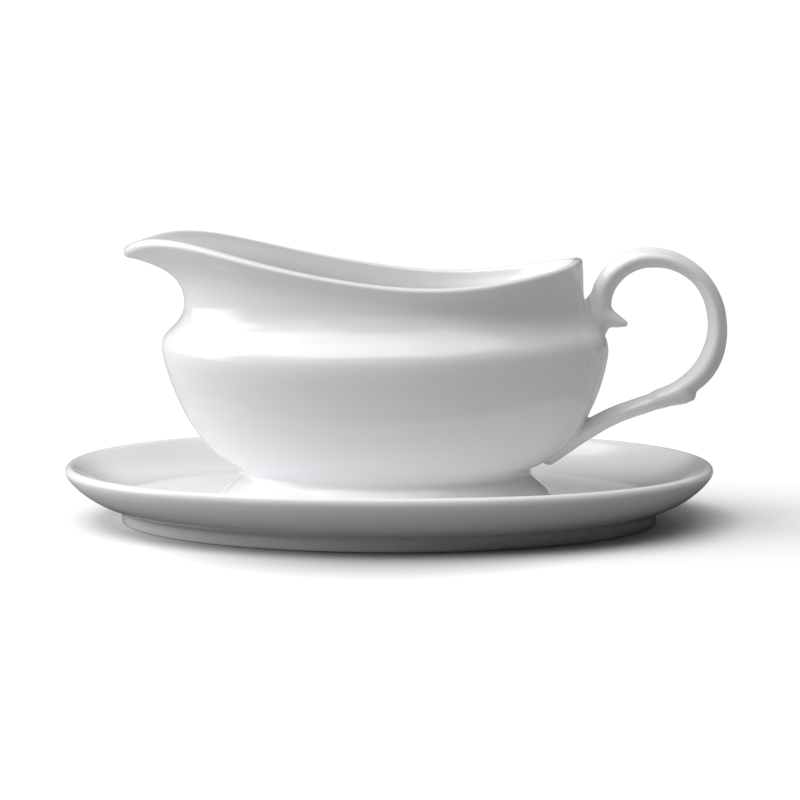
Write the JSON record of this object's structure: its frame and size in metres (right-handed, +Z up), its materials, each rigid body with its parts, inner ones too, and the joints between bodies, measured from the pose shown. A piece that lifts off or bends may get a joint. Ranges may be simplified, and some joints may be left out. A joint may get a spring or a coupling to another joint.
{
  "type": "gravy boat",
  "caption": "White glazed gravy boat with a swept spout and a looped strap handle, standing on a separate oval saucer.",
  "frame": {"origin": "centre of the whole part's bounding box at table level, where the saucer's foot ring rests", "axes": "+X from the spout to the handle, +Z up, +Y to the left of a viewer who looks along +X"},
  "size_m": [0.2408, 0.152, 0.104],
  "materials": {
    "jug_glaze": "gloss",
    "saucer_glaze": "gloss"
  },
  "bodies": {
    "saucer": {"saucer": "saucer_glaze"},
    "jug": {"jug_body": "jug_glaze", "handle": "jug_glaze"}
  },
  "joints": [
    {"name": "jug_lift", "type": "slide", "parent": "saucer", "child": "jug", "axis": [0, 0, 1], "range_m": [0, 0.08]}
  ]
}
